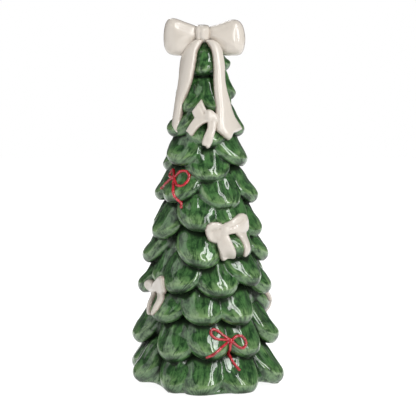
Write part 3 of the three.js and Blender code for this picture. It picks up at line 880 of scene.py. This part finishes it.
def laidOn(azimuth, height, lift=0.3, bridge=9, softness=18, sink=1.6):  # clay that lies on the boughs
    right, up, out = facingDirections(azimuth)

    def place(us, vs, heights):
        seat = seatUnder(us, vs, azimuth, height, bridge, softness) + lift
        base = us[..., None] * right + (vs[..., None] + height) * up + seat[..., None] * out
        return offSeat(base, heights, sink)
    return place


def drapedOn(azimuth, height, lift=0.2, sink=2.2):  # clay from lip to lip: u is measured round the tree
    def place(us, vs, heights):
        radius = np.interp(vs + height, topperValues["seatHeights"], topperValues["seatRadii"])
        radius = blur(radius, clayRules["drapeBlur"]) + lift
        turn = math.radians(azimuth) + us / radius
        base = np.stack([radius * np.sin(turn), -radius * np.cos(turn), vs + height], axis=-1)
        return offSeat(base, heights, sink)
    return place


def standing(depthY):  # a free lump, with a front and a back
    def place(us, vs, heights):
        base = np.stack([us, np.full(us.shape, depthY), vs], axis=-1)
        out = heights[..., None] * np.array([0, -1, 0])
        return base + out, base - out
    return place


# The bow on the apex

topperValues = {
    "planeY": -3, "knotY": -4,
    "clay": {"blend": 0.5, "softening": 3},
    "pillow": {"height": 5.2, "edge": 6, "dome": 3.3, "domeWidth": 12},
    "barrel": {"height": 7, "edge": 4.5, "dome": 1.8, "domeWidth": 6},
    "strip": {"height": 3.2, "edge": 2.6, "dome": 0.5, "domeWidth": 5},
    "topper_loop_left": [
        (-7, 298), (-8.2, 298.7), (-12.8, 300.3), (-16.9, 301.7), (-21.1, 303.4), (-23.1, 304.2),
        (-26.8, 305), (-29.3, 304.8), (-31, 303.8), (-33, 300.8), (-34, 296.7), (-34.6, 291.8),
        (-34.6, 286.9), (-34.2, 282.7), (-33.5, 279.7), (-32.3, 277.4), (-30.4, 275.5), (-27.7, 274.5),
        (-24.4, 274), (-21.1, 273.7), (-19, 273.8), (-16.6, 275.3), (-14.9, 276.6), (-12.8, 278.6),
        (-10.8, 281.2), (-8.7, 284.4), (-5, 287), (-4, 293)],
    "topper_loop_right": [
        (3.7, 298.2), (7, 298.9), (12, 300.2), (15.3, 301.6), (18.2, 302.8), (21.1, 303.5), (23.3, 303.8),
        (25.6, 303.5), (27.5, 302.8), (29.3, 301.1), (30.6, 299.2), (31.8, 295.9), (32.4, 293),
        (32.9, 289.3), (32.9, 286), (32.5, 282.7), (31.6, 278.6), (30.6, 276.5), (29, 274.8), (26.9, 274.2),
        (23.4, 274), (19.5, 273.9), (16.1, 274), (13.7, 275.2), (12, 276.6), (9.5, 278.4), (6.8, 280.3),
        (4.2, 283.8), (0, 287), (0, 294)],
    "topper_knot": [
        (-9, 298.2), (-8.2, 299), (-5.3, 299.5), (0.4, 299.5), (3.1, 298.7), (4, 295.8), (3.9, 290.9),
        (3.4, 286), (1.2, 284.3), (-6.2, 284.3), (-8.6, 286), (-9.2, 292.5)],
    "topper_tail_left": [
        (-8.5, 28.6), (-9.6, 24.5), (-10.4, 18.7), (-8.4, 13.8), (-6.4, 7.3), (-6.2, -2.6), (-7.5, -10),
        (-7.3, -17.4), (-7.1, -25.6), (-7, -32.9), (-4.5, -36.5), (-1.2, -38.4), (0.9, -39.6), (2.7, -39.9),
        (2.4, -36.7), (1.6, -30.6), (1.7, -24.5), (1.8, -20.4), (1.9, -15.3), (3.4, -10.2), (6, -4),
        (7.9, 3.3), (8.4, 8.2), (8.2, 14.3), (7.6, 21.4), (6.6, 28.6), (6.5, 33.5), (7.5, 36.5), (1, 37)],
    "topper_tail_right": [
        (-7.5, 36.5), (-5.6, 33.5), (-5.2, 29.4), (-5.2, 23.6), (-6.8, 12.2), (-8, 6.2), (-8.6, -2),
        (-8.8, -12.1), (-9, -19.2), (-10, -25), (-11, -31.5), (-11.4, -36.8), (-8.2, -39.2), (-3.4, -43.3),
        (0.1, -45.4), (2.1, -43.7), (4.4, -39.5), (10.8, -38.7), (21.2, -37.1), (17.9, -35.2), (13, -31.7),
        (8.4, -26.1), (6.1, -19.7), (4.6, -11.5), (2.8, -4.1), (2.1, 4.1), (3.1, 10.6), (4.2, 16.3),
        (4.4, 22.9), (4.4, 28.6), (3, 34), (-2, 37)],
    "seatHeights": [196, 208, 234, 259, 280, 287, 300],
    "seatRadii": [30, 30.6, 25.5, 21.3, 15, 8.5, 5],
}


def makeTopper():
    values = topperValues
    side, middle = standing(values["planeY"]), standing(values["knotY"])
    for node, clay, place, creases, soften in (
            ("topper_loop_left", "pillow", side,
             [(-6, 293, -22, 298.5, 1.6, 0.8), (-6, 290, -20, 282, 2.4, 0.7)], 6),
            ("topper_loop_right", "pillow", side,
             [(2, 293, 18, 297.5, 1.6, 0.8), (2, 290, 16, 282, 2.4, 0.7)], 6),
            ("topper_knot", "barrel", middle,
             [(-4.6, 300, -4.6, 283, 0.9, 1.3), (0.6, 300, 0.6, 283, 0.8, 0.9)], 2),
            ("topper_tail_left", "strip", drapedOn(-50, 250), [], 2),
            ("topper_tail_right", "strip", drapedOn(38, 250), [], 2)):
        layClay(node, [(values[node],)], {**values["clay"], **values[clay]}, place, creases, soften)


makeTopper()
print("topper laid")


# The small white bows

bowValues = {
    "upper": [
        ([(-1.5, -1.8), (-0.4, -5.8), (-0.6, -10.6), (-3.4, -16.6), (-5.4, -22.2), (-4.9, -25.2),
          (-2.4, -25.3), (-0.9, -27.8), (1.5, -26.8), (3.4, -23.3), (4.9, -17.3), (6.5, -12.5), (7.4, -7.5),
          (4.4, -1.8)], {"height": 2.8}),
        ([(-1.5, 0.7), (-7.4, 0.1), (-11.2, -2.5), (-15.4, -8.3), (-18.9, -13.7), (-16.3, -15.1),
          (-15.1, -17.2), (-12.7, -17.4), (-10.9, -14.5), (-7, -10), (-3.2, -7.2), (-0.1, -6.4),
          (2.1, -2.6)], {"height": 2.6}),
        ([(0, 2.3), (-2.5, 7.5), (-4.9, 13.1), (-8.7, 8.3), (-13.3, 2.5), (-12.3, -0.2), (-10.9, -3.1),
          (-6.7, -3.4), (-1.6, -3.4)], {"height": 3}),
        ([(-1.5, 3.1), (0.8, 4.8), (3.7, 3.8), (6.5, 1.4), (9.4, -1), (10, -4.4), (7.6, -7.4), (3.4, -6.4),
          (1.4, -4.2)], {"height": 3.6, "edge": 3.2, "dome": 0.4}),
        ([(-2.9, 1.5), (-1.1, 4.4), (1.5, 4.2), (3.7, 1.9), (4.4, -2.6), (2.5, -6.2), (-1.2, -5.4),
          (-3.3, -1.8)], {"height": 4.4, "edge": 3.2}),
    ],
    "middle": [
        ([(6.1, -2.3), (11.3, -7.2), (13.2, -12.3), (13.9, -17.2), (13.6, -21.5), (15.2, -22.8),
          (17.7, -20.4), (19.8, -16.9), (19.9, -12.1), (19.6, -7.2), (18.8, -1.9)], {"height": 2.4}),
        ([(-5.3, -2.6), (-7, -10.6), (-6.4, -16.2), (-4.8, -22.1), (-3.1, -25.5), (-0.6, -25.8),
          (1.8, -24.2), (4.8, -24), (8.9, -22.5), (6.8, -16.8), (4.3, -10.9), (2.7, -5.3), (1.7, -1.3)],
         {"height": 2.8}),
        ([(-1.9, 3.6), (-3.4, 5.7), (-7.9, 6.6), (-12.1, 6.4), (-15.7, 4.2), (-16.8, 0), (-15.5, -4.4),
          (-13.4, -9), (-10.6, -10.6), (-7.4, -11.8), (-4.3, -8.6), (-0.3, -4.4)], {"height": 2.7}),
        ([(-1.8, 5.2), (3.7, 7.7), (8.5, 10.6), (12, 12.6), (16, 12.9), (19.2, 11.3), (21.5, 6.3),
          (23.3, 2.2), (22.8, -1), (19.7, -3.3), (15.6, -3.4), (11.2, -3.4), (6.5, -3.5), (0.6, -4.4)],
         {"height": 2.7}),
        ([(-4.4, 3.7), (-1.3, 5.2), (2, 3.1), (3.5, -1), (0.2, -4.4), (-3.6, -2.7)],
         {"height": 3.3, "edge": 2.6}),
    ],
    "clay": {"height": 2.6, "edge": 1.5, "dome": 0.3, "domeWidth": 5, "blend": 0.9, "softening": 1},
}


def makeBow(node, pattern, place, creases=(), mirrored=False, scale=1.0):
    layClay(node, bowValues[pattern], bowValues["clay"], place, creases, 2, mirrored, scale)


makeBow("white_bow_upper", "upper", drapedOn(4, 226, 0.7, 3),
        [(4.5, -0.5, 8, -3, 1.2, 0.5), (-3, 1, -6, 7, 1.1, 0.7), (2, -6, 1.5, -12, 0.9, 0.5)])
makeBow("white_bow_middle", "middle", laidOn(21, 133.5),
        [(4, 2, 14, 7, 1.3, 0.8), (-4, 1, -11, 0, 1.3, 0.7), (-3.5, -4, -4.5, -9, 0.9, 0.5),
         (5, -4, 15, -3, 0.9, 0.6)])
makeBow("white_bow_left", "middle", laidOn(-62, 83, 0.4, 9, 24), scale=0.92)
makeBow("white_bow_right", "middle", laidOn(115, 74, 0, 9, 24), scale=0.84)
makeBow("white_bow_back", "middle", laidOn(178, 160), mirrored=True)
print("white bows laid")


# The red slip bows: trails of slip that follow the boughs

slipValues = {
    "radius": 1.15, "lift": 0.35, "step": 0.5, "sides": 14, "softening": 16,
    "lower": [
        [(-1, 0), (-3.7, 0.7), (-8.6, 4.8), (-13.4, 9), (-17.3, 9.1), (-18.6, 6), (-16.8, 2.7),
         (-12.9, 1.4), (-8, 0.7), (-2, 0)],
        [(-1.5, 0.2), (2.7, 3.2), (6.5, 3.7), (9.7, 0.2), (9.5, -3.8), (6.1, -6.8), (2.4, -5.2),
         (-0.3, -2.2), (-1.5, 0)],
        [(-1, 0), (-3.8, -1.1), (-11.5, -4.7), (-18.6, -9.4), (-24.7, -12.9)],
        [(-1, 0), (-3, -3.6), (-2.6, -10.2), (-1.2, -16.8), (2.9, -24.6)],
    ],
    "left": [
        [(-3.4, -1.4), (2.1, 4.3), (7.4, 4.7), (10.9, 1.2), (11.7, -3.6), (8.9, -7.7), (3.4, -6.7),
         (-2.7, -2.2), (-3.4, -1.4)],
        [(-3.4, -1.4), (-6.2, 1.3), (-9.1, 6), (-11, 3.1), (-13.4, -0.2), (-7.4, -1.2), (-3.4, -1.4)],
        [(-3, -1), (-6.1, -1.9), (-12.3, -6.7), (-20, -11.4)],
        [(-3.5, -1), (-1.2, -5.8), (3.8, -12.1), (6.4, -18.3), (9.6, -25.6)],
    ],
}


def slipTree(inputs):
    tree = Making("slipTrail", inputs)
    path = tree.node("GeometryNodeMeshToCurve", None, {0: tree.given("Geometry")})
    length = tree.node("GeometryNodeSplineParameter", out="Length")
    left = tree.node("GeometryNodeSplineLength", out="Length") - length
    radius = tree.given("radius")
    end = (length.math("MINIMUM", left) / radius).math("MINIMUM", 1)
    drawn = tree.noise(tree.spot(), 260.0, 1.0)  # the hand's uneven press
    size = (1 - (1 - end) ** 2).math("SQRT").math("MAXIMUM", 0.05) * (0.78 + drawn * 0.5)
    ring = tree.node("GeometryNodeCurvePrimitiveCircle", {"mode": "RADIUS"}, {
        "Resolution": tree.given("sides"), "Radius": radius})
    tree.end(tree.node("GeometryNodeCurveToMesh", None, {
        "Curve": path, "Profile Curve": ring, "Scale": size, "Fill Caps": True}))
    return tree


def makeSlipBow(node, pattern, azimuth, height, mirrored=False):
    values = slipValues
    right, up, out = facingDirections(azimuth)
    points, edges = [], []
    for trail in values[pattern]:
        curve = alongLine(cornersOf(trail, 1, mirrored), values["step"], 4, False)
        curve = softened(curve, values["softening"])
        depth = fillGaps(treeDepth(curve[:, :1], curve[:, 1:], azimuth, height))[:, 0] + values["lift"]
        depth = softened(depth, 6)
        edges += [(len(points) + i, len(points) + i + 1) for i in range(len(curve) - 1)]
        points += [(u * right + (v + height) * up + w * out) * mm for (u, v), w in zip(curve, depth)]
    piece = addPiece(pieceName(node), points, [], None, edges)
    slipTree({"radius": values["radius"] * mm, "sides": values["sides"], "material": redSlip}).apply(piece)
    piece.data.shade_smooth()
    hand(piece, "red_slip", node)


makeSlipBow("red_bow_lower", "lower", 25, 44)
makeSlipBow("red_bow_left", "left", -43.5, 175.5)
makeSlipBow("red_bow_back", "left", 150, 122, mirrored=True)
print("slip bows laid")


# Felt pads under the foot ring

padValues = {
    "radius": 6, "ring": 38, "thickness": 1, "chamfer": 0.25, "press": 0.3, "first": 45, "sides": 40,
}


def makePads():
    values = padValues
    radius, chamfer, top = values["radius"], values["chamfer"], values["thickness"] + values["press"]
    flat = radius - chamfer
    profile = [(0, 0), (flat, 0), (radius, chamfer), (radius, top - chamfer), (flat, top), (0, top)]
    for i in range(4):
        turn = math.radians(values["first"] + 90 * i)
        node = f"foot_pad_{i + 1}"
        pad = lathe(pieceName(node), profile, values["sides"], darkFelt)
        move = Vector((math.cos(turn), math.sin(turn), 0)) * values["ring"] * mm
        for vertex in pad.data.vertices:
            vertex.co += move
        hand(pad, "felt", node)


makePads()
print("felt pads set")
hand(tree, "green_glaze", "tree_casting")


# The stage: a pale floor, soft lamps and the camera

stageValues = {
    "floor": (0.93, 0.93, 0.93, 1), "white": (1, 1, 1, 1), "floorGlow": 1.27, "glowShare": 0.75,
    "ambient": 0.32, "reflected": 0.12, "aim": (0, 0, 0.15),
    "lens": 135, "sensor": 36, "camera": (2.1, -1300, 270), "pitch": 5.4,
    "lamps": [  # name, place, width, height, power, and whether it shows in the glaze
        ("rightPaneNear", (0.66, -1.0, 0.9), 0.2, 1.6, 7.7, True),
        ("rightPaneFar", (0.94, -0.74, 0.9), 0.2, 1.6, 7.7, True),
        ("leftPanel", (-1.25, -0.5, 0.55), 1.7, 1.5, 7, True),
        ("backPane", (-0.2, 1.25, 0.9), 0.16, 1.6, 3, True),
        ("backFill", (0.3, 1.5, 0.75), 1.6, 1.3, 8, False),
    ],
}


def seenRays(bench):  # camera rays, and the mirrored ones: glossy or through glass
    rays = bench.node("ShaderNodeLightPath")
    return rays, rays.other("Is Glossy Ray").math("MAXIMUM", rays.other("Is Transmission Ray"))


def setStage():
    values = stageValues
    scene = bpy.context.scene
    scene.view_settings.view_transform = "Standard"
    scene.world = bpy.data.worlds.new("studio")
    scene.world.use_nodes = True
    bench = Bench(scene.world.node_tree)
    bench.tree.nodes.clear()
    camera, mirrored = seenRays(bench)
    strength = camera * (1 - values["ambient"]) + mirrored * (values["reflected"] - values["ambient"])
    shader = bench.node("ShaderNodeBackground", None, {
        "Color": values["white"], "Strength": strength + values["ambient"]})
    bench.node("ShaderNodeOutputWorld", None, {"Surface": shader})

    paint = Paint("paleFloor")
    camera, mirrored = seenRays(paint)
    diffuse = paint.node("ShaderNodeBsdfDiffuse", None, {"Color": values["floor"]})
    glow = paint.node("ShaderNodeEmission", None, {
        "Color": values["white"], "Strength": values["floorGlow"]})
    share = camera.math("MAXIMUM", mirrored) * values["glowShare"]
    floor = addPiece("floor", *boxMesh(6, 6, 0.01, 0),
                     paint.show(paint.node("ShaderNodeMixShader", None, {0: share, 1: diffuse, 2: glow})))

    for name, place, width, height, power, mirrored in values["lamps"]:
        data = bpy.data.lights.new(name, "AREA")
        data.shape = "RECTANGLE"
        data.size, data.size_y = width, height
        data.energy = power
        light = bpy.data.objects.new(name, data)
        light.location = place
        light.visible_glossy = mirrored
        light.rotation_euler = (Vector(values["aim"]) - Vector(place)).to_track_quat("-Z", "Y").to_euler()
        scene.collection.objects.link(light)

    camera = bpy.data.objects.new("camera", bpy.data.cameras.new("camera"))
    camera.data.lens = values["lens"]
    camera.data.sensor_width = values["sensor"]
    camera.location = [measure * mm for measure in values["camera"]]
    camera.rotation_euler = (math.radians(90 - values["pitch"]), 0, 0)
    scene.collection.objects.link(camera)
    scene.camera = camera


setStage()
print("stage set")
